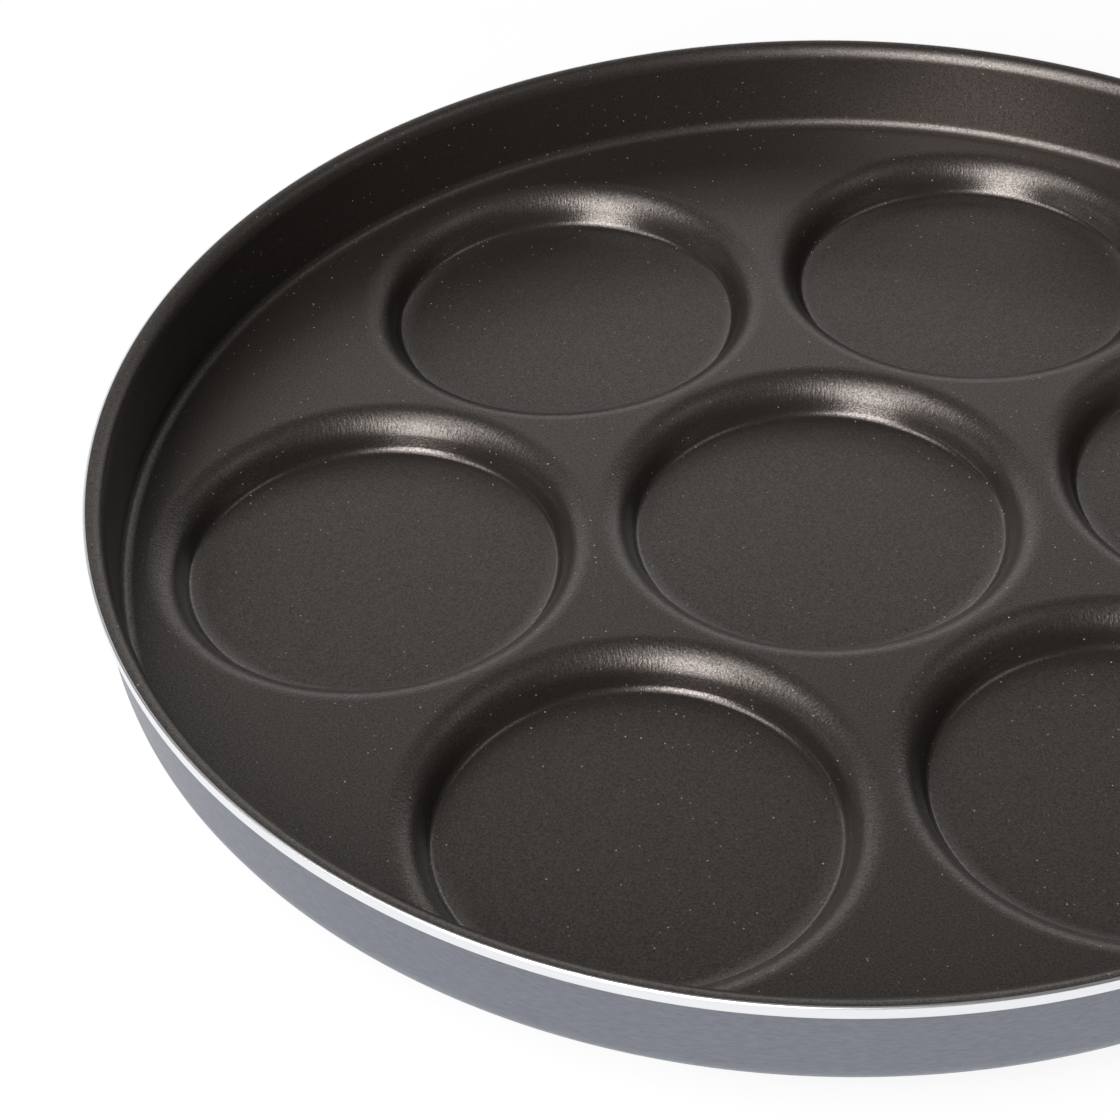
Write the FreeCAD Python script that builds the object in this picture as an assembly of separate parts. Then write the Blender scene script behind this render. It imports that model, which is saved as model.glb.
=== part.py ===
import FreeCAD, Part
import math
import os
from collections import namedtuple

# Pancake pan with seven round cups, pressed from one round sheet of metal.
# Sizes are in millimetres and degrees. The pan stands on the flat bottoms of its cups:
# the origin is on that plane, under the middle of the centre cup, and +Z is up.
# The coated side is the upper one, that food lies on; the bare side faces down and out.

# Sheet
SHEET = 2.4             # thickness of the metal
EDGE_ROUND = 0.35       # rounding of both corners of the lip's cut edge

# Cups, all seven made by one punch
OUTER_CUPS = 6          # cups in the ring round the centre cup
CUP_MOUTH = 40.6        # radius where the shoulder leaves the level deck
CUP_LAND = 0.16         # level land between the mouths of two neighbouring cups
CUP_DEPTH = 7.0         # deck down to the cup's floor, on the coated side
SHOULDER_BEND = 6.3     # radius of the convex shoulder, on the coated side
FLANK_ANGLE = 66.0      # slope of the flank below the shoulder
CREASE_BEND = 1.8       # radius of the tight concave bend at the flank's foot, on the coated side
RISE_ANGLE = 12.0       # slope of the ring that eases the floor up to the crease
RISE_WIDTH = 2.3        # width of that ring, from the floor's corner to the crease's
RISE_BEND = 10.0        # radius of the bend between the floor and that ring, on the coated side

# Wall and lip
RIM_LAND = 4.14         # level deck between the outer cups' mouths and the wall's foot
WALL_HEIGHT = 18.6      # deck up to the lip, on the coated side
WALL_LEAN = 1.0         # angle by which the wall opens outwards
FOOT_BEND = 2.0         # radius in the corner of deck and wall, on the coated side
FOOT_OUTSIDE = 5.5      # radius of the same corner on the bare side, set by the die
LIP_BEND = 3.0          # radius of the bend over the wall's top, on the coated side
LIP_LAND = 0.6          # level lip between that bend and the cut edge

# Levels and radii that follow
FLOOR_LEVEL = SHEET
DECK_LEVEL = FLOOR_LEVEL + CUP_DEPTH
LIP_LEVEL = DECK_LEVEL + WALL_HEIGHT
CUP_PITCH = 2 * CUP_MOUTH + CUP_LAND
RING_RADIUS = CUP_PITCH / (2 * math.sin(math.pi / OUTER_CUPS))
FOOT_RADIUS = RING_RADIUS + CUP_MOUTH + RIM_LAND
WALL_TOP_RADIUS = FOOT_RADIUS + WALL_HEIGHT * math.tan(math.radians(WALL_LEAN))
LIP_REACH = LIP_BEND * math.tan(math.radians(90 - WALL_LEAN) / 2) + LIP_LAND
LIP_RADIUS = WALL_TOP_RADIUS + LIP_REACH

AXIS = FreeCAD.Vector(0, 0, 1)

# A corner of a section in the plane of radius and height: its place if it were sharp,
# and the radius of its bend on the coated side and on the bare side
Corner = namedtuple("Corner", "r z coated bare")


def point(r, z):
    """A point of a section, drawn in the XZ plane."""
    return FreeCAD.Vector(r, 0, z)


def moved_sideways(corners, distance):
    """The corners of a path moved to its right-hand side, which is below a path that runs outwards."""
    points = [point(corner.r, corner.z) for corner in corners]
    runs = [(end - start).normalize() for start, end in zip(points, points[1:])]
    normals = [FreeCAD.Vector(run.z, 0, -run.x) for run in runs]
    moved = []
    for place, before, after in zip(points, normals[:1] + normals, normals + normals[-1:]):
        moved.append(place + (before + after) * (distance / (1 + before.dot(after))))
    return moved


def rounded_face(points, radii):
    """A face inside a closed outline, with an arc in place of each corner that has a radius."""
    edges = []
    starts = []
    ends = []
    for index, (place, radius) in enumerate(zip(points, radii)):
        back = (points[index - 1] - place).normalize()
        onward = (points[(index + 1) % len(points)] - place).normalize()
        half_opening = back.getAngle(onward) / 2
        reach = radius / math.tan(half_opening)
        starts.append(place + back * reach)
        ends.append(place + onward * reach)
        if radius > 0:
            inward = (back + onward).normalize()
            middle = place + inward * (radius / math.sin(half_opening) - radius)
            edges.append(Part.Arc(starts[-1], middle, ends[-1]).toShape())
    for index, end in enumerate(ends):
        start = starts[(index + 1) % len(starts)]
        if end.distanceToPoint(start) > Part.Precision.confusion():
            edges.append(Part.LineSegment(end, start).toShape())
    return Part.Face(Part.Wire(Part.__sortEdges__(edges)))


def turned_sheet(path, edge_round):
    """The sheet whose coated side follows a path of corners from the axis outwards, turned about the axis."""
    coated_side = [point(corner.r, corner.z) for corner in path]
    bare_side = moved_sideways(path, SHEET)
    coated_radii = [corner.coated for corner in path[:-1]] + [edge_round]
    bare_radii = [edge_round] + [corner.bare for corner in reversed(path[:-1])]
    section = rounded_face(coated_side + bare_side[::-1], coated_radii + bare_radii)
    return section.revolve(FreeCAD.Vector(), AXIS, 360)


def tray():
    """The round tray without its cups: level deck, steep wall and turned-out lip."""
    return turned_sheet([
        Corner(0, DECK_LEVEL, 0, 0),
        Corner(FOOT_RADIUS, DECK_LEVEL, FOOT_BEND, FOOT_OUTSIDE),
        Corner(WALL_TOP_RADIUS, LIP_LEVEL, LIP_BEND, LIP_BEND - SHEET),
        Corner(LIP_RADIUS, LIP_LEVEL, 0, 0),
    ], EDGE_ROUND)


def cup():
    """One cup at the origin, from its floor to the line where its shoulder leaves the deck."""
    flank = math.radians(FLANK_ANGLE)
    crease_level = FLOOR_LEVEL + RISE_WIDTH * math.tan(math.radians(RISE_ANGLE))
    shoulder_corner = CUP_MOUTH - SHOULDER_BEND * math.tan(flank / 2)
    crease_corner = shoulder_corner - (DECK_LEVEL - crease_level) / math.tan(flank)
    return turned_sheet([
        Corner(0, FLOOR_LEVEL, 0, 0),
        Corner(crease_corner - RISE_WIDTH, FLOOR_LEVEL, RISE_BEND, RISE_BEND + SHEET),
        Corner(crease_corner, crease_level, CREASE_BEND, CREASE_BEND + SHEET),
        Corner(shoulder_corner, DECK_LEVEL, SHOULDER_BEND, SHOULDER_BEND - SHEET),
        Corner(CUP_MOUTH, DECK_LEVEL, 0, 0),
    ], 0)


def cup_centres():
    """The middle of each cup: one at the origin and a ring of others round it."""
    ring = [FreeCAD.Vector(RING_RADIUS, 0, 0)]
    for _ in range(1, OUTER_CUPS):
        ring.append(FreeCAD.Rotation(AXIS, 360 / OUTER_CUPS).multVec(ring[-1]))
    return [FreeCAD.Vector()] + ring


def pan():
    """The whole pan: the deck is opened at each mouth and a cup closes the opening."""
    body = tray()
    openings = []
    cups = []
    for centre in cup_centres():
        underside = centre + AXIS * (DECK_LEVEL - SHEET)
        openings.append(Part.makeCylinder(CUP_MOUTH, SHEET, underside))
        cups.append(cup().translated(centre))
    return body.cut(openings).fuse(cups).removeSplitter().Solids[0]


os.makedirs("parts", exist_ok=True)
shape = pan()
print("pan:", shape.ShapeType, "valid" if shape.isValid() else "not valid", shape.optimalBoundingBox())
shape.exportStep("parts/pan.step")
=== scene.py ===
"""Looks of a pressed pancake pan: one round sheet of metal with a low wall, a turned-out lip
and seven round cups, dark non-stick coating on its upper side and brushed bare metal below.

Everything is in metres. The pan stands on the plane z = 0 and opens upwards.
"""

import logging
import math
from dataclasses import dataclass, field
from enum import Enum
from typing import Any, Sequence

import bpy
from mathutils import Euler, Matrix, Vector


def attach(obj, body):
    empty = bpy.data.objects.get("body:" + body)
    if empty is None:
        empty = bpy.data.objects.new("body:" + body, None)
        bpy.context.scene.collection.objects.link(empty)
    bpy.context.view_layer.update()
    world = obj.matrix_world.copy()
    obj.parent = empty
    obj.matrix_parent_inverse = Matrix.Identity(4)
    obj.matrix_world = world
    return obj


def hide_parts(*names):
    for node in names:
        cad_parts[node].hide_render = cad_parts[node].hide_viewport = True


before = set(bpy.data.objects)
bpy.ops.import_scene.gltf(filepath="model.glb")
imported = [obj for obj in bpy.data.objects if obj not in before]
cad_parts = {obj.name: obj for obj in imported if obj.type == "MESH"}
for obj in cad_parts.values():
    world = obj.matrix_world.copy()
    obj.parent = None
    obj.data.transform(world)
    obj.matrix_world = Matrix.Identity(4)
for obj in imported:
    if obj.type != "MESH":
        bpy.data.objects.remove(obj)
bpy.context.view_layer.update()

MM = 0.001

log = logging.getLogger("pancake_pan")


def linear(code: str) -> tuple[float, float, float, float]:
    """Turn an sRGB colour into the linear one that shaders take.

    Args:
        code: the colour as six hexadecimal digits after a "#".

    Returns:
        Red, green, blue and an alpha of 1.
    """
    parts = [int(code[start:start + 2], 16) / 255 for start in (1, 3, 5)]
    bent = [p / 12.92 if p <= 0.04045 else ((p + 0.055) / 1.055) ** 2.4 for p in parts]
    return bent[0], bent[1], bent[2], 1.0


def add(tree: bpy.types.NodeTree, kind: str, inputs: dict[str | int, Any] | None = None,
        **settings: Any) -> bpy.types.Node:
    """Add one node with its settings, values and incoming links.

    Args:
        tree: the tree that takes the node.
        kind: the node's type.
        inputs: for each input, by name or number, the socket it is linked from or its value.
        settings: the node's own properties.

    Returns:
        The new node.
    """
    node = tree.nodes.new(kind)
    for name, value in settings.items():
        setattr(node, name, value)
    for key, value in (inputs or {}).items():
        if isinstance(value, bpy.types.NodeSocket):
            tree.links.new(value, node.inputs[key])
        else:
            node.inputs[key].default_value = value
    return node


class Side(Enum):
    """The three kinds of surface on the pan, by the number that its faces carry."""

    COATED = 0
    CUT_EDGE = 1
    BARE = 2


class Field(Enum):
    """Names of what the pan's mesh carries besides its points."""

    SIDE = "side"
    CUP_PLACE = "cup_place"


@dataclass(frozen=True)
class NonStickCoating:
    """Sprayed and baked fluoropolymer coating: satin, nearly black, warm in its highlights.

    The eye sees fine grain, strokes across the pressed bends and a scatter of pale flecks.
    The coat pools in the crease at the foot of each cup's flank and is glossier there.
    """

    ground: str = "#1d1917"
    mottle: str = "#231f1c"
    fleck: str = "#a39c95"
    sheen: str = "#fff3ec"
    roughness: float = 0.35
    pooled: float = 0.24
    # Above the polymer's own 1.4, to match how bright the highlights on the bends are
    ior: float = 1.75
    # Grain and strokes are as wide as they look in the photograph
    grain: float = 0.36 * MM
    grain_depth: float = 0.024 * MM
    grain_gloss: float = 0.6
    mottle_width: float = 1.6 * MM
    # Radii in the cup between which the coat has pooled, and the width of each faded edge
    crease_from: float = 31.5 * MM
    crease_to: float = 35.6 * MM
    crease_fade: float = 1.2 * MM
    stroke_spacing: float = 0.55 * MM
    stroke_length: float = 0.9 * MM
    # How tall a stroke is against the grain
    stroke_height: float = 2.6
    stroke_from: float = 34.2 * MM
    stroke_to: float = 40.8 * MM
    stroke_fade: float = 1.5 * MM
    # A fleck's full core and its faded rim are radii in parts of the spacing
    fleck_spacing: float = 1.3 * MM
    fleck_core: float = 0.07
    fleck_rim: float = 0.14
    fleck_share: float = 0.5
    fleck_rarity: float = 2.0

    def material(self) -> bpy.types.Material:
        """Make the material.

        Returns:
            The finished material.
        """
        made = bpy.data.materials.new("non_stick_coating")
        made.use_nodes = True
        tree = made.node_tree
        tree.nodes.clear()
        place = add(tree, "ShaderNodeTexCoord").outputs["Object"]
        grain = add(tree, "ShaderNodeTexNoise", {
            "Vector": place, "Scale": 1 / self.grain, "Detail": 2.0}).outputs["Fac"]
        spot = add(tree, "ShaderNodeAttribute", attribute_name=Field.CUP_PLACE.value)
        flat = add(tree, "ShaderNodeVectorMath", {
            0: spot.outputs["Vector"], 1: (1.0, 1.0, 0.0)}, operation="MULTIPLY").outputs[0]
        reach = add(tree, "ShaderNodeVectorMath", {0: flat}, operation="LENGTH").outputs["Value"]
        height = add(tree, "ShaderNodeMath", {0: grain, 1: self.strokes(tree, flat, reach)},
                     operation="ADD")
        relief = add(tree, "ShaderNodeBump", {
            "Strength": 1.0, "Distance": self.grain_depth, "Height": height.outputs[0]})
        gloss = add(tree, "ShaderNodeMapRange", {
            "Value": grain, "To Min": 0.5 - self.grain_gloss, "To Max": 0.5 + self.grain_gloss})
        crease = self.band(tree, reach, self.crease_from, self.crease_to, self.crease_fade)
        smooth = add(tree, "ShaderNodeMapRange", {
            "Value": crease, "To Min": self.roughness, "To Max": self.pooled})
        shader = add(tree, "ShaderNodeBsdfPrincipled", {
            "Base Color": self.colour(tree, place), "Roughness": smooth.outputs["Result"],
            "IOR": self.ior, "Specular IOR Level": gloss.outputs["Result"],
            "Specular Tint": linear(self.sheen), "Normal": relief.outputs["Normal"]})
        add(tree, "ShaderNodeOutputMaterial", {"Surface": shader.outputs[0]})
        return made

    def colour(self, tree: bpy.types.NodeTree,
               place: bpy.types.NodeSocket) -> bpy.types.NodeSocket:
        """Add the mottled ground and the pale flecks, few of them bright.

        Args:
            tree: the material's tree.
            place: where on the pan the colour is asked for.

        Returns:
            The socket with the colour.
        """
        mottle = add(tree, "ShaderNodeTexNoise", {
            "Vector": place, "Scale": 1 / self.mottle_width, "Detail": 3.0, "Roughness": 0.6})
        tint = add(tree, "ShaderNodeMix", {
            "Factor": mottle.outputs["Fac"], 6: linear(self.ground), 7: linear(self.mottle)},
            data_type="RGBA")
        cells = add(tree, "ShaderNodeTexVoronoi", {
            "Vector": place, "Scale": 1 / self.fleck_spacing})
        near = add(tree, "ShaderNodeMapRange", {
            "Value": cells.outputs["Distance"], "From Min": self.fleck_core,
            "From Max": self.fleck_rim, "To Min": 1.0, "To Max": 0.0})
        pick = add(tree, "ShaderNodeSeparateColor", {"Color": cells.outputs["Color"]})
        chosen = add(tree, "ShaderNodeMapRange", {
            "Value": pick.outputs["Red"], "From Min": 1 - self.fleck_share})
        rare = add(tree, "ShaderNodeMath", {
            0: chosen.outputs["Result"], 1: self.fleck_rarity}, operation="POWER")
        flecked = add(tree, "ShaderNodeMath", {
            0: near.outputs["Result"], 1: rare.outputs[0]}, operation="MULTIPLY")
        return add(tree, "ShaderNodeMix", {
            "Factor": flecked.outputs[0], 6: tint.outputs[2], 7: linear(self.fleck)},
            data_type="RGBA").outputs[2]

    def band(self, tree: bpy.types.NodeTree, reach: bpy.types.NodeSocket, start: float,
             end: float, fade: float) -> bpy.types.NodeSocket:
        """Add a ring round each cup that fades out at both its edges.

        Args:
            tree: the material's tree.
            reach: the distance from the cup's middle.
            start: the ring's inner radius.
            end: the ring's outer radius.
            fade: the width of each faded edge, inside the ring.

        Returns:
            The socket that is 1 inside the ring and 0 outside it.
        """
        inner = add(tree, "ShaderNodeMapRange", {
            "Value": reach, "From Min": start, "From Max": start + fade})
        outer = add(tree, "ShaderNodeMapRange", {
            "Value": reach, "From Min": end - fade, "From Max": end, "To Min": 1.0,
            "To Max": 0.0})
        return add(tree, "ShaderNodeMath", {
            0: inner.outputs["Result"], 1: outer.outputs["Result"]},
            operation="MULTIPLY").outputs[0]

    def strokes(self, tree: bpy.types.NodeTree, flat: bpy.types.NodeSocket,
                reach: bpy.types.NodeSocket) -> bpy.types.NodeSocket:
        """Add the fine strokes that run down into a cup across its shoulder.

        Args:
            tree: the material's tree.
            flat: the place in the cup, without its height.
            reach: the distance from the cup's middle.

        Returns:
            The socket with the strokes' height, zero away from the shoulder.
        """
        out = add(tree, "ShaderNodeVectorMath", {0: flat}, operation="NORMALIZE")
        round_cup = add(tree, "ShaderNodeVectorMath", {
            0: out.outputs[0], "Scale": self.stroke_to / self.stroke_spacing}, operation="SCALE")
        along = add(tree, "ShaderNodeMath", {0: reach, 1: 1 / self.stroke_length},
                    operation="MULTIPLY")
        lift = add(tree, "ShaderNodeCombineXYZ", {"Z": along.outputs[0]})
        spot = add(tree, "ShaderNodeVectorMath", {
            0: round_cup.outputs[0], 1: lift.outputs[0]}, operation="ADD")
        lines = add(tree, "ShaderNodeTexNoise", {
            "Vector": spot.outputs[0], "Scale": 1.0, "Detail": 2.0})
        ring = self.band(tree, reach, self.stroke_from, self.stroke_to, self.stroke_fade)
        tall = add(tree, "ShaderNodeMath", {0: ring, 1: self.stroke_height},
                   operation="MULTIPLY")
        return add(tree, "ShaderNodeMath", {
            0: lines.outputs["Fac"], 1: tall.outputs[0]}, operation="MULTIPLY").outputs[0]


@dataclass(frozen=True)
class LatheLines:
    """Bare aluminium with fine lines that run round the pan.

    The eye sees a bright turned edge with long close lines, and a duller, bluish brushed wall
    with short scratches. Such lines are commonly finer than 0.1 mm, and are drawn coarser here
    so that they show.
    """

    name: str
    colour: str
    dull: str
    roughness: float
    spacing: float
    length: float
    depth: float
    relief: float = 0.4
    # How much rougher the dull lines are than the metal, and how much smoother the bright ones
    rougher: float = 0.08
    smoother: float = 0.06

    def material(self) -> bpy.types.Material:
        """Make the material.

        Returns:
            The finished material.
        """
        made = bpy.data.materials.new(self.name)
        made.use_nodes = True
        tree = made.node_tree
        tree.nodes.clear()
        place = add(tree, "ShaderNodeTexCoord").outputs["Object"]
        parts = add(tree, "ShaderNodeSeparateXYZ", {"Vector": place})
        flat = add(tree, "ShaderNodeVectorMath", {
            0: place, 1: (1.0, 1.0, 0.0)}, operation="MULTIPLY")
        reach = add(tree, "ShaderNodeVectorMath", {0: flat.outputs[0]}, operation="LENGTH")
        out = add(tree, "ShaderNodeVectorMath", {0: flat.outputs[0]}, operation="NORMALIZE")
        ends = add(tree, "ShaderNodeSeparateXYZ", {"Vector": out.outputs[0]})
        across = add(tree, "ShaderNodeMath", {
            0: parts.outputs["Z"], 1: reach.outputs["Value"]}, operation="SUBTRACT")
        rows = add(tree, "ShaderNodeMath", {
            0: across.outputs[0], 1: 1 / self.spacing}, operation="MULTIPLY")
        stretch = TrayForm().lip_radius / self.length
        spot = add(tree, "ShaderNodeCombineXYZ", {"Z": rows.outputs[0]})
        for socket, source in (("X", ends.outputs["X"]), ("Y", ends.outputs["Y"])):
            scaled = add(tree, "ShaderNodeMath", {0: source, 1: stretch}, operation="MULTIPLY")
            tree.links.new(scaled.outputs[0], spot.inputs[socket])
        lines = add(tree, "ShaderNodeTexNoise", {
            "Vector": spot.outputs[0], "Scale": 1.0, "Detail": 4.0, "Roughness": 0.65})
        tint = add(tree, "ShaderNodeMix", {
            "Factor": lines.outputs["Fac"], 6: linear(self.dull), 7: linear(self.colour)},
            data_type="RGBA")
        relief = add(tree, "ShaderNodeBump", {
            "Strength": self.relief, "Distance": self.depth, "Height": lines.outputs["Fac"]})
        gloss = add(tree, "ShaderNodeMapRange", {
            "Value": lines.outputs["Fac"], "To Min": self.roughness + self.rougher,
            "To Max": self.roughness - self.smoother})
        shader = add(tree, "ShaderNodeBsdfPrincipled", {
            "Base Color": tint.outputs[2], "Metallic": 1.0,
            "Roughness": gloss.outputs["Result"], "Normal": relief.outputs["Normal"]})
        add(tree, "ShaderNodeOutputMaterial", {"Surface": shader.outputs[0]})
        return made


@dataclass(frozen=True)
class CupForm:
    """Sizes of one pressed cup, on the coated side.

    A ring eases the floor up to the crease, which is the tight bend at the flank's foot.
    """

    mouth: float = 40.6 * MM
    land: float = 0.16 * MM
    depth: float = 7.0 * MM
    shoulder_bend: float = 6.3 * MM
    flank_angle: float = math.radians(66.0)
    crease_bend: float = 1.8 * MM
    rise_angle: float = math.radians(12.0)
    rise_width: float = 2.3 * MM
    rise_bend: float = 10.0 * MM

    @property
    def shoulder_corner(self) -> float:
        """Radius where the deck's line and the flank's line meet."""
        return self.mouth - self.shoulder_bend * math.tan(self.flank_angle / 2)

    @property
    def rise(self) -> float:
        """Height of the crease's corner above the floor."""
        return self.rise_width * math.tan(self.rise_angle)

    @property
    def crease_corner(self) -> float:
        """Radius where the flank's line and the ring's line meet."""
        return self.shoulder_corner - (self.depth - self.rise) / math.tan(self.flank_angle)

    @property
    def pitch(self) -> float:
        """Distance between the middles of two cups next to each other."""
        return 2 * self.mouth + self.land


@dataclass(frozen=True)
class TrayForm:
    """Sizes of the level deck, the wall and the lip, on the coated side."""

    cup: CupForm = field(default_factory=CupForm)
    sheet: float = 2.4 * MM
    rim_land: float = 4.14 * MM
    wall_height: float = 18.6 * MM
    wall_lean: float = math.radians(1.0)
    foot_bend: float = 2.0 * MM
    foot_outside: float = 5.5 * MM
    lip_bend: float = 3.0 * MM
    lip_land: float = 0.6 * MM
    edge_round: float = 0.35 * MM

    @property
    def deck_level(self) -> float:
        """Height of the deck above the plane that the pan stands on."""
        return self.sheet + self.cup.depth

    @property
    def lip_level(self) -> float:
        """Height of the lip above the plane that the pan stands on."""
        return self.deck_level + self.wall_height

    @property
    def foot_corner(self) -> float:
        """Radius where the deck's line and the wall's line meet."""
        return self.cup.pitch + self.cup.mouth + self.rim_land

    @property
    def lip_corner(self) -> float:
        """Radius where the wall's line and the lip's line meet."""
        return self.foot_corner + self.wall_height * math.tan(self.wall_lean)

    @property
    def lip_radius(self) -> float:
        """Radius of the lip's cut edge."""
        half_turn = (math.pi / 2 - self.wall_lean) / 2
        return self.lip_corner + self.lip_bend * math.tan(half_turn) + self.lip_land


@dataclass
class TurnedSide:
    """Node group that turns one side of the sheet about the pan's axis.

    The side's section is a path from a start to an end, with a bend at each corner between.
    """

    bends: int

    @property
    def path_names(self) -> list[str]:
        """Names of the inputs that take the path's points."""
        return ["Start"] + [f"Corner {turn}" for turn in range(1, self.bends + 1)] + ["End"]

    @property
    def bend_names(self) -> list[str]:
        """Names of the inputs that take the radius of the bend at each corner."""
        return [f"Bend {turn}" for turn in range(1, self.bends + 1)]

    def build(self) -> bpy.types.NodeTree:
        """Lay out the group's nodes.

        Returns:
            The new tree.
        """
        tree = bpy.data.node_groups.new(f"Turned side, {self.bends} bends", "GeometryNodeTree")
        face = tree.interface
        for name in self.path_names:
            face.new_socket(name, in_out="INPUT", socket_type="NodeSocketVector")
        for name in self.bend_names + ["Shift", "Guard"]:
            face.new_socket(name, in_out="INPUT", socket_type="NodeSocketFloat")
        for name in ("Bend Steps", "Turn Steps", "Side"):
            face.new_socket(name, in_out="INPUT", socket_type="NodeSocketInt")
        face.new_socket("Facing Up", in_out="INPUT", socket_type="NodeSocketBool")
        face.new_socket("Mesh", in_out="OUTPUT", socket_type="NodeSocketGeometry")
        given = add(tree, "NodeGroupInput").outputs

        points = self.moved(tree, given)
        section = self.section(tree, given, points)
        mesh = self.turned(tree, given, section)
        add(tree, "NodeGroupOutput", {"Mesh": mesh})
        return tree

    def moved(self, tree: bpy.types.NodeTree,
              given: bpy.types.bpy_prop_collection) -> list[bpy.types.NodeSocket]:
        """Move the path sideways by the thickness of the sheet, for its bare side.

        Args:
            tree: the group's tree.
            given: the group's inputs.

        Returns:
            The points of the moved path.
        """
        points = [given[name] for name in self.path_names]
        normals = []
        for first, second in zip(points, points[1:]):
            run = add(tree, "ShaderNodeVectorMath", {0: second, 1: first}, operation="SUBTRACT")
            straight = add(tree, "ShaderNodeVectorMath", {0: run.outputs[0]},
                           operation="NORMALIZE")
            normals.append(add(tree, "ShaderNodeVectorMath", {
                0: (0.0, 1.0, 0.0), 1: straight.outputs[0]},
                operation="CROSS_PRODUCT").outputs[0])
        moved = []
        for point, before, after in zip(points, [normals[0]] + normals, normals + [normals[-1]]):
            both = add(tree, "ShaderNodeVectorMath", {0: before, 1: after}, operation="ADD")
            facing = add(tree, "ShaderNodeVectorMath", {0: before, 1: after},
                         operation="DOT_PRODUCT")
            share = add(tree, "ShaderNodeMath", {0: facing.outputs["Value"], 1: 1.0},
                        operation="ADD")
            far = add(tree, "ShaderNodeMath", {0: given["Shift"], 1: share.outputs[0]},
                      operation="DIVIDE")
            step = add(tree, "ShaderNodeVectorMath", {
                0: both.outputs[0], "Scale": far.outputs[0]}, operation="SCALE")
            moved.append(add(tree, "ShaderNodeVectorMath", {
                0: point, 1: step.outputs[0]}, operation="ADD").outputs[0])
        return moved

    def guards(self, tree: bpy.types.NodeTree, given: bpy.types.bpy_prop_collection,
               corner: bpy.types.NodeSocket, ends: Sequence[bpy.types.NodeSocket],
               bend: bpy.types.NodeSocket) -> list[bpy.types.NodeSocket]:
        """Find a point just outside each end of a bend, which keeps the flats beside it flat.

        Args:
            tree: the group's tree.
            given: the group's inputs.
            corner: the bend's sharp corner.
            ends: the points before and after the corner.
            bend: the bend's radius.

        Returns:
            The guard before the bend and the guard after it.
        """
        arms = []
        for end in ends:
            run = add(tree, "ShaderNodeVectorMath", {0: end, 1: corner}, operation="SUBTRACT")
            arms.append(add(tree, "ShaderNodeVectorMath", {0: run.outputs[0]},
                            operation="NORMALIZE").outputs[0])
        facing = add(tree, "ShaderNodeVectorMath", {0: arms[0], 1: arms[1]},
                     operation="DOT_PRODUCT")
        angle = add(tree, "ShaderNodeMath", {0: facing.outputs["Value"]},
                    operation="ARCCOSINE")
        half = add(tree, "ShaderNodeMath", {0: angle.outputs[0], 1: 0.5}, operation="MULTIPLY")
        slope = add(tree, "ShaderNodeMath", {0: half.outputs[0]}, operation="TANGENT")
        tangent = add(tree, "ShaderNodeMath", {0: bend, 1: slope.outputs[0]},
                      operation="DIVIDE")
        reach = add(tree, "ShaderNodeMath", {0: tangent.outputs[0], 1: given["Guard"]},
                    operation="ADD")
        found = []
        for arm in arms:
            step = add(tree, "ShaderNodeVectorMath", {0: arm, "Scale": reach.outputs[0]},
                       operation="SCALE")
            found.append(add(tree, "ShaderNodeVectorMath", {
                0: corner, 1: step.outputs[0]}, operation="ADD").outputs[0])
        return found

    def section(self, tree: bpy.types.NodeTree, given: bpy.types.bpy_prop_collection,
                points: Sequence[bpy.types.NodeSocket]) -> bpy.types.NodeSocket:
        """Draw the section as one curve with its bends.

        Args:
            tree: the group's tree.
            given: the group's inputs.
            points: the path's points.

        Returns:
            The curve.
        """
        path = [points[0]]
        bends: list[Any] = [0.0]
        for before, corner, after, name in zip(points, points[1:], points[2:], self.bend_names):
            first, second = self.guards(tree, given, corner, (before, after), given[name])
            path += [first, corner, second]
            bends += [0.0, given[name], 0.0]
        path.append(points[-1])
        bends.append(0.0)
        number = add(tree, "GeometryNodeInputIndex").outputs[0]
        switches = {}
        for kind, values in (("VECTOR", path), ("FLOAT", bends)):
            switch = add(tree, "GeometryNodeIndexSwitch", data_type=kind)
            while len(switch.index_switch_items) < len(values):
                switch.index_switch_items.new()
            tree.links.new(number, switch.inputs["Index"])
            for place, value in enumerate(values):
                socket = switch.inputs[place + 1]
                if isinstance(value, bpy.types.NodeSocket):
                    tree.links.new(value, socket)
                else:
                    socket.default_value = value
            switches[kind] = switch.outputs[0]
        cloud = add(tree, "GeometryNodePoints", {
            "Count": len(path), "Position": switches["VECTOR"]})
        curve = add(tree, "GeometryNodePointsToCurves", {
            "Points": cloud.outputs[0], "Weight": number})
        rounded = add(tree, "GeometryNodeFilletCurve", {
            "Curve": curve.outputs[0], "Count": given["Bend Steps"],
            "Radius": switches["FLOAT"]}, mode="POLY")
        return rounded.outputs[0]

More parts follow.
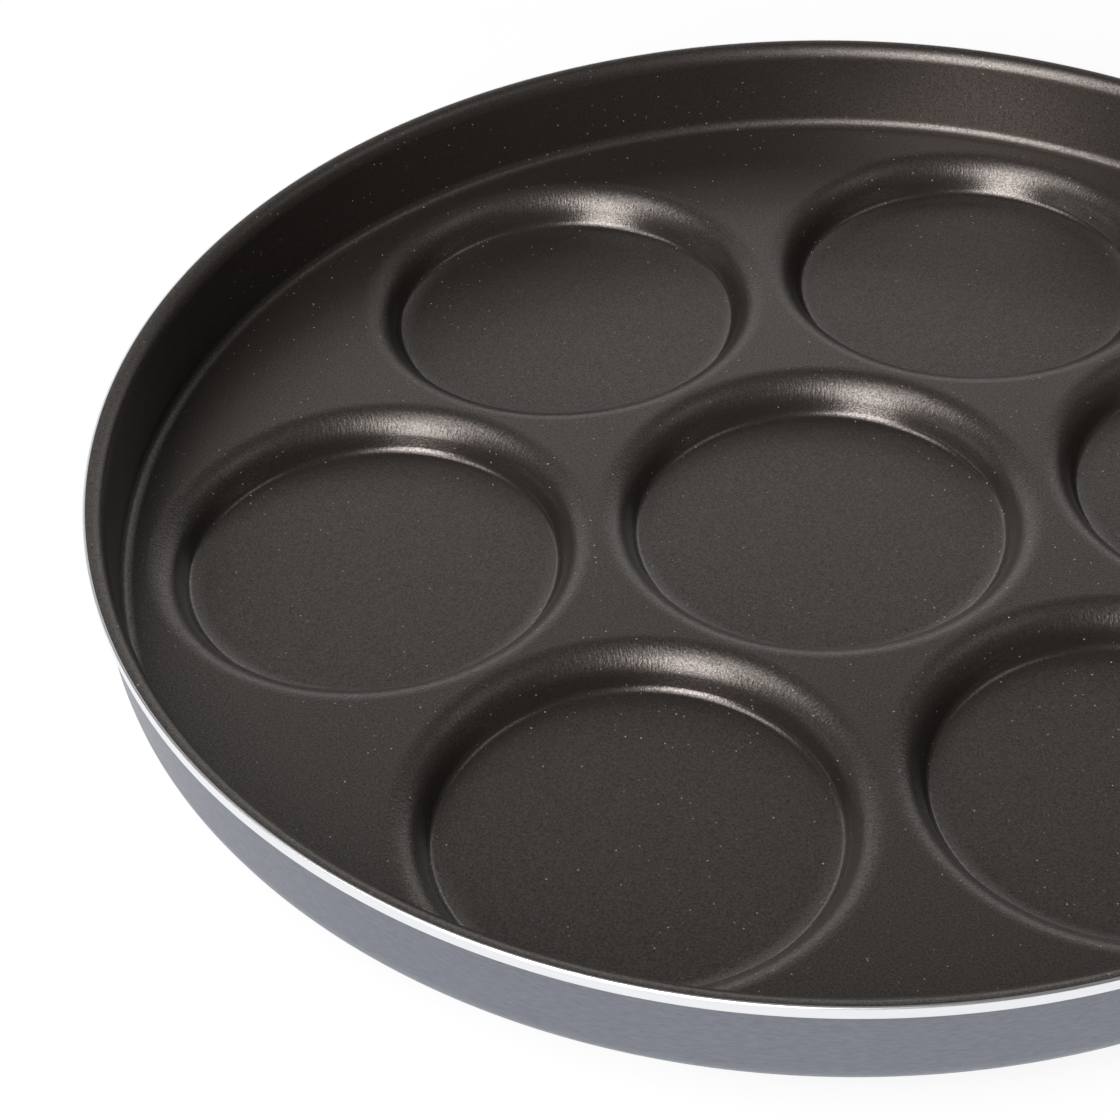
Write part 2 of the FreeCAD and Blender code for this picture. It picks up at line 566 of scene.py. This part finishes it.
    def turned(self, tree: bpy.types.NodeTree, given: bpy.types.bpy_prop_collection,
               section: bpy.types.NodeSocket) -> bpy.types.NodeSocket:
        """Turn the section about the axis: a grid whose columns are the section's copies.

        Args:
            tree: the group's tree.
            given: the group's inputs.
            section: the curve to turn.

        Returns:
            The mesh, not yet closed at its seam.
        """
        size = add(tree, "GeometryNodeAttributeDomainSize", {"Geometry": section},
                   component="CURVE")
        rows = size.outputs["Point Count"]
        columns = add(tree, "ShaderNodeMath", {0: given["Turn Steps"], 1: 1.0},
                      operation="ADD")
        grid = add(tree, "GeometryNodeMeshGrid", {
            "Vertices X": columns.outputs[0], "Vertices Y": rows})
        number = add(tree, "GeometryNodeInputIndex").outputs[0]
        row = add(tree, "ShaderNodeMath", {0: number, 1: rows}, operation="MODULO")
        part = add(tree, "ShaderNodeMath", {0: number, 1: row.outputs[0]},
                   operation="SUBTRACT")
        column = add(tree, "ShaderNodeMath", {0: part.outputs[0], 1: rows},
                     operation="DIVIDE")
        turn = add(tree, "ShaderNodeMath", {0: column.outputs[0], 1: given["Turn Steps"]},
                   operation="DIVIDE")
        angle = add(tree, "ShaderNodeMath", {0: turn.outputs[0], 1: math.tau},
                    operation="MULTIPLY")
        position = add(tree, "GeometryNodeInputPosition").outputs[0]
        spot = add(tree, "GeometryNodeSampleIndex", {
            "Geometry": section, "Value": position, "Index": row.outputs[0]},
            data_type="FLOAT_VECTOR", domain="POINT")
        place = add(tree, "ShaderNodeVectorRotate", {
            "Vector": spot.outputs[0], "Angle": angle.outputs[0]}, rotation_type="Z_AXIS")
        turned = add(tree, "GeometryNodeSetPosition", {
            "Geometry": grid.outputs["Mesh"], "Position": place.outputs[0]})
        flipped = add(tree, "GeometryNodeFlipFaces", {
            "Mesh": turned.outputs[0], "Selection": given["Facing Up"]})
        marked = add(tree, "GeometryNodeStoreNamedAttribute", {
            "Geometry": flipped.outputs[0], "Name": Field.SIDE.value, "Value": given["Side"]},
            data_type="INT", domain="FACE")
        return marked.outputs[0]


@dataclass
class PressedPan:
    """The pan itself: deck, cups, wall and lip in one closed sheet."""

    name: str = "pressed_pan"
    tray: TrayForm = field(default_factory=TrayForm)
    outer_cups: int = 6
    # Length of flat kept beside each bend
    guard: float = 0.06 * MM
    # Distance within which the points of two sides become one
    merge: float = 0.002 * MM
    # Part of the land beyond the outer cups that the filled deck covers
    deck_share: float = 0.3
    coated_steps: int = 10
    bare_steps: int = 6
    cup_steps: int = 120
    rim_steps: int = 360
    turned_sides: dict[int, bpy.types.NodeTree] = field(default_factory=dict)
    coating: NonStickCoating = field(default_factory=NonStickCoating)
    edge: LatheLines = LatheLines(
        name="turned_aluminium_edge", colour="#f7f7f9", dull="#e2e3e6", roughness=0.30,
        spacing=0.12 * MM, length=30 * MM, depth=0.01 * MM)
    bare: LatheLines = LatheLines(
        name="brushed_aluminium", colour="#8e919a", dull="#696c76", roughness=0.38,
        spacing=0.35 * MM, length=1.8 * MM, depth=0.012 * MM)

    def sizes(self) -> dict[str, float | int]:
        """List the tree's inputs.

        Returns:
            The value of each named input.
        """
        tray, cup = self.tray, self.tray.cup
        return {
            "Sheet": tray.sheet, "Deck Level": tray.deck_level, "Lip Level": tray.lip_level,
            "Cup Pitch": cup.pitch, "Cup Mouth": cup.mouth + self.guard,
            "Shoulder Corner": cup.shoulder_corner, "Shoulder Bend": cup.shoulder_bend,
            "Crease Corner": cup.crease_corner, "Crease Level": tray.sheet + cup.rise,
            "Crease Bend": cup.crease_bend,
            "Rise Corner": cup.crease_corner - cup.rise_width, "Rise Bend": cup.rise_bend,
            "Deck Edge": cup.pitch + cup.mouth + tray.rim_land * self.deck_share,
            "Foot Corner": tray.foot_corner, "Foot Bend": tray.foot_bend,
            "Foot Outside": tray.foot_outside,
            "Lip Corner": tray.lip_corner, "Lip Bend": tray.lip_bend,
            "Lip Radius": tray.lip_radius, "Edge Round": tray.edge_round,
            "Guard": self.guard, "Outer Cups": self.outer_cups,
            "Coated Steps": self.coated_steps, "Bare Steps": self.bare_steps,
            "Cup Steps": self.cup_steps, "Rim Steps": self.rim_steps}

    def pan_tree(self) -> bpy.types.NodeTree:
        """Lay out the tree that presses the whole pan from its sizes.

        Returns:
            The new tree.
        """
        tree = bpy.data.node_groups.new("Pressed pan", "GeometryNodeTree")
        for name, value in self.sizes().items():
            kind = "NodeSocketInt" if isinstance(value, int) else "NodeSocketFloat"
            tree.interface.new_socket(name, in_out="INPUT", socket_type=kind)
        for side in Side:
            tree.interface.new_socket(side.name, in_out="INPUT",
                                      socket_type="NodeSocketMaterial")
        tree.interface.new_socket("Pan", in_out="OUTPUT", socket_type="NodeSocketGeometry")
        given = add(tree, "NodeGroupInput").outputs

        cups = self.spread(tree, given, self.cup_sides(tree, given))
        rim = self.rim_sides(tree, given)
        deck = self.deck_sides(tree, given)
        joined = add(tree, "GeometryNodeJoinGeometry")
        for piece in [cups] + rim + deck:
            tree.links.new(piece, joined.inputs[0])
        real = add(tree, "GeometryNodeRealizeInstances", {0: joined.outputs[0]})
        closed = add(tree, "GeometryNodeMergeByDistance", {
            "Geometry": real.outputs[0], "Distance": self.merge})
        smooth = add(tree, "GeometryNodeSetShadeSmooth", {0: closed.outputs[0]})
        mark = add(tree, "GeometryNodeInputNamedAttribute", {"Name": Field.SIDE.value},
                   data_type="INT").outputs["Attribute"]
        dressed = smooth.outputs[0]
        for side in Side:
            match = add(tree, "FunctionNodeCompare", data_type="INT", operation="EQUAL")
            tree.links.new(mark, match.inputs[2])
            match.inputs[3].default_value = side.value
            dressed = add(tree, "GeometryNodeSetMaterial", {
                "Geometry": dressed, "Selection": match.outputs[0],
                "Material": given[side.name]}).outputs[0]
        add(tree, "NodeGroupOutput", {"Pan": dressed})
        return tree

    def point(self, tree: bpy.types.NodeTree, radius: Any, height: Any) -> bpy.types.NodeSocket:
        """Make a point of a section from its radius and height."""
        return add(tree, "ShaderNodeCombineXYZ", {"X": radius, "Z": height}).outputs[0]

    def side(self, tree: bpy.types.NodeTree, given: bpy.types.bpy_prop_collection,
             path: Sequence[bpy.types.NodeSocket], bends: Sequence[bpy.types.NodeSocket],
             **values: Any) -> bpy.types.NodeSocket:
        """Add one turned side of the sheet.

        Args:
            tree: the pan's tree.
            given: the tree's inputs.
            path: the points of its section.
            bends: the radius of the bend at each point between the first and the last.
            values: the other inputs of the turned side, with "_" for a space.

        Returns:
            The side's mesh.
        """
        turned = TurnedSide(len(bends))
        if turned.bends not in self.turned_sides:
            self.turned_sides[turned.bends] = turned.build()
        inputs: dict[str | int, Any] = dict(zip(turned.path_names, path))
        inputs.update(zip(turned.bend_names, bends))
        inputs.update({name.replace("_", " "): value for name, value in values.items()})
        inputs["Guard"] = given["Guard"]
        node = add(tree, "GeometryNodeGroup", node_tree=self.turned_sides[turned.bends])
        for name, value in inputs.items():
            if isinstance(value, bpy.types.NodeSocket):
                tree.links.new(value, node.inputs[name])
            else:
                node.inputs[name].default_value = value
        return node.outputs[0]

    def cup_sides(self, tree: bpy.types.NodeTree,
                  given: bpy.types.bpy_prop_collection) -> bpy.types.NodeSocket:
        """Turn both sides of one cup and note each point's place in the cup.

        Args:
            tree: the pan's tree.
            given: the tree's inputs.

        Returns:
            One cup, round the pan's axis.
        """
        path = [self.point(tree, 0.0, given["Sheet"]),
                self.point(tree, given["Rise Corner"], given["Sheet"]),
                self.point(tree, given["Crease Corner"], given["Crease Level"]),
                self.point(tree, given["Shoulder Corner"], given["Deck Level"]),
                self.point(tree, given["Cup Mouth"], given["Deck Level"])]
        upper = [given["Rise Bend"], given["Crease Bend"], given["Shoulder Bend"]]
        lower = [add(tree, "ShaderNodeMath", {0: bend, 1: given["Sheet"]},
                     operation=change).outputs[0]
                 for bend, change in zip(upper, ("ADD", "ADD", "SUBTRACT"))]
        coated = self.side(tree, given, path, upper, Turn_Steps=given["Cup Steps"],
                           Bend_Steps=given["Coated Steps"], Facing_Up=True)
        bare = self.side(tree, given, path, lower, Shift=given["Sheet"],
                         Turn_Steps=given["Cup Steps"], Bend_Steps=given["Bare Steps"],
                         Side=Side.BARE.value)
        both = add(tree, "GeometryNodeJoinGeometry")
        tree.links.new(coated, both.inputs[0])
        tree.links.new(bare, both.inputs[0])
        here = add(tree, "GeometryNodeInputPosition").outputs[0]
        return add(tree, "GeometryNodeStoreNamedAttribute", {
            "Geometry": both.outputs[0], "Name": Field.CUP_PLACE.value, "Value": here},
            data_type="FLOAT_VECTOR", domain="CORNER").outputs[0]

    def spread(self, tree: bpy.types.NodeTree, given: bpy.types.bpy_prop_collection,
               piece: bpy.types.NodeSocket) -> bpy.types.NodeSocket:
        """Put a copy of a piece in the middle and at each place of the ring.

        Args:
            tree: the pan's tree.
            given: the tree's inputs.
            piece: what is copied.

        Returns:
            All the copies, as instances.
        """
        ring = add(tree, "GeometryNodeMeshCircle", {
            "Vertices": given["Outer Cups"], "Radius": given["Cup Pitch"]})
        middle = add(tree, "GeometryNodePoints", {"Count": 1})
        places = add(tree, "GeometryNodeJoinGeometry")
        tree.links.new(ring.outputs[0], places.inputs[0])
        tree.links.new(middle.outputs[0], places.inputs[0])
        return add(tree, "GeometryNodeInstanceOnPoints", {
            "Points": places.outputs[0], "Instance": piece}).outputs[0]

    def rim_sides(self, tree: bpy.types.NodeTree,
                  given: bpy.types.bpy_prop_collection) -> list[bpy.types.NodeSocket]:
        """Turn both sides of the wall and lip, and the lip's cut edge with its two roundings.

        Args:
            tree: the pan's tree.
            given: the tree's inputs.

        Returns:
            The three meshes.
        """
        spare = add(tree, "ShaderNodeMath", {
            0: given["Guard"], 1: 2.0, 2: given["Edge Round"]}, operation="MULTIPLY_ADD")
        lip_end, under = (
            add(tree, "ShaderNodeMath", {0: whole, 1: part}, operation="SUBTRACT").outputs[0]
            for whole, part in ((given["Lip Radius"], spare.outputs[0]),
                                (given["Lip Level"], given["Sheet"])))
        path = [self.point(tree, given["Deck Edge"], given["Deck Level"]),
                self.point(tree, given["Foot Corner"], given["Deck Level"]),
                self.point(tree, given["Lip Corner"], given["Lip Level"]),
                self.point(tree, lip_end, given["Lip Level"])]
        cut = [path[-1], self.point(tree, given["Lip Radius"], given["Lip Level"]),
               self.point(tree, given["Lip Radius"], under),
               self.point(tree, lip_end, under)]
        tighter = add(tree, "ShaderNodeMath", {0: given["Lip Bend"], 1: given["Sheet"]},
                      operation="SUBTRACT").outputs[0]
        turns, fine, plain = given["Rim Steps"], given["Coated Steps"], given["Bare Steps"]
        return [
            self.side(tree, given, path, [given["Foot Bend"], given["Lip Bend"]],
                      Turn_Steps=turns, Bend_Steps=fine, Facing_Up=True),
            self.side(tree, given, path, [given["Foot Outside"], tighter],
                      Shift=given["Sheet"], Turn_Steps=turns, Bend_Steps=plain,
                      Side=Side.BARE.value),
            self.side(tree, given, cut, [given["Edge Round"]] * 2, Turn_Steps=turns,
                      Bend_Steps=plain, Side=Side.CUT_EDGE.value, Facing_Up=True)]

    def deck_sides(self, tree: bpy.types.NodeTree,
                   given: bpy.types.bpy_prop_collection) -> list[bpy.types.NodeSocket]:
        """Fill the level deck between the cups' mouths and the wall, on both its sides.

        Args:
            tree: the pan's tree.
            given: the tree's inputs.

        Returns:
            The two meshes.
        """
        mouth = add(tree, "GeometryNodeCurvePrimitiveCircle", {
            "Resolution": given["Cup Steps"], "Radius": given["Cup Mouth"]})
        edge = add(tree, "GeometryNodeCurvePrimitiveCircle", {
            "Resolution": given["Rim Steps"], "Radius": given["Deck Edge"]})
        mouths = add(tree, "GeometryNodeRealizeInstances", {
            0: self.spread(tree, given, mouth.outputs[0])})
        outline = add(tree, "GeometryNodeJoinGeometry")
        tree.links.new(mouths.outputs[0], outline.inputs[0])
        tree.links.new(edge.outputs[0], outline.inputs[0])
        flat = add(tree, "GeometryNodeFillCurve", {"Curve": outline.outputs[0]},
                   mode="TRIANGLES")
        under = add(tree, "ShaderNodeMath", {
            0: given["Deck Level"], 1: given["Sheet"]}, operation="SUBTRACT").outputs[0]
        sides = []
        for level, flip, side in ((given["Deck Level"], False, Side.COATED),
                                  (under, True, Side.BARE)):
            lifted = add(tree, "GeometryNodeSetPosition", {
                "Geometry": flat.outputs[0], "Offset": self.point(tree, 0.0, level)})
            faced = add(tree, "GeometryNodeFlipFaces", {
                "Mesh": lifted.outputs[0], "Selection": flip})
            sides.append(add(tree, "GeometryNodeStoreNamedAttribute", {
                "Geometry": faced.outputs[0], "Name": Field.SIDE.value, "Value": side.value},
                data_type="INT", domain="FACE").outputs[0])
        return sides

    def build(self) -> bpy.types.Object:
        """Run the tree and keep its result as a plain mesh.

        Returns:
            The dressed pan.
        """
        tree = self.pan_tree()
        values: dict[str, Any] = dict(self.sizes())
        values[Side.COATED.name] = self.coating.material()
        values[Side.CUT_EDGE.name] = self.edge.material()
        values[Side.BARE.name] = self.bare.material()
        pan = bpy.data.objects.new(self.name, bpy.data.meshes.new(self.name + "_seed"))
        bpy.context.scene.collection.objects.link(pan)
        press = pan.modifiers.new("press", "NODES")
        press.node_group = tree
        for item in tree.interface.items_tree:
            if item.in_out == "INPUT":
                press[item.identifier] = values[item.name]
        seen = pan.evaluated_get(bpy.context.evaluated_depsgraph_get())
        mesh = bpy.data.meshes.new_from_object(seen)
        pan.modifiers.remove(press)
        # The mesh comes with an empty slot before the three materials
        if mesh.materials[0] is None:
            mesh.materials.pop(index=0)
        pan.data = mesh
        mesh.name = self.name
        return pan

    def place(self) -> bpy.types.Object:
        """Build the pan and let it stand for the solid one.

        Returns:
            The pan.
        """
        pan = self.build()
        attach(pan, "root")
        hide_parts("pan")
        return pan


@dataclass
class Floor:
    """Plain pale floor: white to the eye and in reflections, with a faint shadow of the pan.

    It lies a hair below the pan, so that it shares no plane with the cups' bottoms.
    """

    side: float = 12.0
    level: float = -0.05 * MM
    colour: str = "#f2f2f2"
    own_white: float = 0.86

    def build(self) -> bpy.types.Object:
        """Make the floor.

        Returns:
            The floor.
        """
        half = self.side / 2
        mesh = bpy.data.meshes.new("floor")
        corners = ((-half, -half), (half, -half), (half, half), (-half, half))
        mesh.from_pydata([(x, y, self.level) for x, y in corners], [], [(0, 1, 2, 3)])
        floor = bpy.data.objects.new("floor", mesh)
        bpy.context.scene.collection.objects.link(floor)
        mesh.materials.append(self.material())
        return floor

    def material(self) -> bpy.types.Material:
        """Make the floor's material.

        Returns:
            Matt white that shows brighter where it is seen than it lights the pan.
        """
        made = bpy.data.materials.new("matt_white_floor")
        made.use_nodes = True
        tree = made.node_tree
        tree.nodes.clear()
        matt = add(tree, "ShaderNodeBsdfDiffuse", {"Color": linear(self.colour)})
        white = add(tree, "ShaderNodeEmission", {"Strength": 1.0})
        path = add(tree, "ShaderNodeLightPath")
        seen = add(tree, "ShaderNodeMath", {
            0: path.outputs["Is Camera Ray"], 1: path.outputs["Is Glossy Ray"]},
            operation="MAXIMUM")
        any_way = add(tree, "ShaderNodeMath", {
            0: seen.outputs[0], 1: path.outputs["Is Transmission Ray"]}, operation="MAXIMUM")
        share = add(tree, "ShaderNodeMath", {
            0: any_way.outputs[0], 1: self.own_white}, operation="MULTIPLY")
        mixed = add(tree, "ShaderNodeMixShader", {
            0: share.outputs[0], 1: matt.outputs[0], 2: white.outputs[0]})
        add(tree, "ShaderNodeOutputMaterial", {"Surface": mixed.outputs[0]})
        return made


@dataclass(frozen=True)
class Softbox:
    """One soft rectangular lamp that faces the pan.

    Its place is given in degrees and metres; its brightness is the radiance of its face.
    """

    name: str
    azimuth: float
    elevation: float
    distance: float
    width: float
    height: float
    brightness: float

    def build(self) -> bpy.types.Object:
        """Make the lamp.

        Returns:
            The lamp.
        """
        around, over = math.radians(self.azimuth), math.radians(self.elevation)
        place = self.distance * Vector((
            math.cos(over) * math.cos(around), math.cos(over) * math.sin(around),
            math.sin(over)))
        lamp = bpy.data.lights.new(self.name, "AREA")
        lamp.shape = "RECTANGLE"
        lamp.size = self.width
        lamp.size_y = self.height
        lamp.energy = self.brightness * math.pi * self.width * self.height
        made = bpy.data.objects.new(self.name, lamp)
        made.location = place
        made.rotation_euler = (-place).to_track_quat("-Z", "Y").to_euler()
        made.visible_camera = False
        bpy.context.scene.collection.objects.link(made)
        return made


@dataclass
class Studio:
    """The room: a dim even world, softboxes at the front left, and pale cards round the pan.

    The lamps start from a fit of lamp patches to the photograph's coated side. The left card
    and the last changes to the others were set one by one.
    """

    world_grey: float = 0.10
    lamps: Sequence[Softbox] = (
        Softbox("key_softbox", -125.0, 31.0, 1.8, 0.85, 1.6, 10.0),
        Softbox("upper_softbox", -155.0, 60.0, 1.8, 1.3, 1.0, 3.6),
        Softbox("back_card", 90.0, 20.0, 1.8, 4.0, 0.65, 1.15),
        Softbox("upper_back_card", 90.0, 40.0, 1.8, 3.2, 0.6, 0.45),
        Softbox("right_card", 0.0, 55.0, 1.8, 0.9, 0.6, 0.8),
        Softbox("left_card", 180.0, 8.0, 1.8, 1.6, 0.45, 1.2),
    )

    def build(self) -> None:
        """Make the world and the lamps."""
        world = bpy.data.worlds.new("studio")
        bpy.context.scene.world = world
        world.use_nodes = True
        tree = world.node_tree
        tree.nodes.clear()
        grey = (self.world_grey,) * 3 + (1.0,)
        even = add(tree, "ShaderNodeBackground", {"Color": grey, "Strength": 1.0})
        add(tree, "ShaderNodeOutputWorld", {"Surface": even.outputs[0]})
        for lamp in self.lamps:
            lamp.build()


@dataclass
class PhotoCamera:
    """The camera, at the place and angle from which the photograph shows the pan.

    It is turned in degrees, and its lens and sensor are in millimetres.
    """

    place: tuple[float, float, float] = (-61.40 * MM, -355.42 * MM, 317.77 * MM)
    turn: tuple[float, float, float] = (48.2625, 2.6196, -4.5502)
    lens: float = 83.98
    sensor: float = 36.0
    nearest: float = 10 * MM

    def build(self) -> bpy.types.Object:
        """Make the camera and let the scene use it.

        Returns:
            The camera.
        """
        optics = bpy.data.cameras.new("photo_camera")
        optics.lens = self.lens
        optics.sensor_width = self.sensor
        optics.sensor_fit = "HORIZONTAL"
        optics.clip_start = self.nearest
        camera = bpy.data.objects.new("photo_camera", optics)
        camera.location = self.place
        camera.rotation_euler = Euler([math.radians(angle) for angle in self.turn])
        bpy.context.scene.collection.objects.link(camera)
        bpy.context.scene.camera = camera
        return camera


def report(piece: bpy.types.Object) -> None:
    """Log a piece's name and how many faces it has."""
    log.info("%s: %d faces", piece.name, len(piece.data.polygons))


def main() -> None:
    """Build the camera, the room and the pan."""
    logging.basicConfig(level=logging.INFO, format="%(message)s")
    bpy.context.scene.view_settings.view_transform = "Standard"
    PhotoCamera().build()
    Studio().build()
    report(Floor().build())
    report(PressedPan().place())


if __name__ == "__main__":
    main()
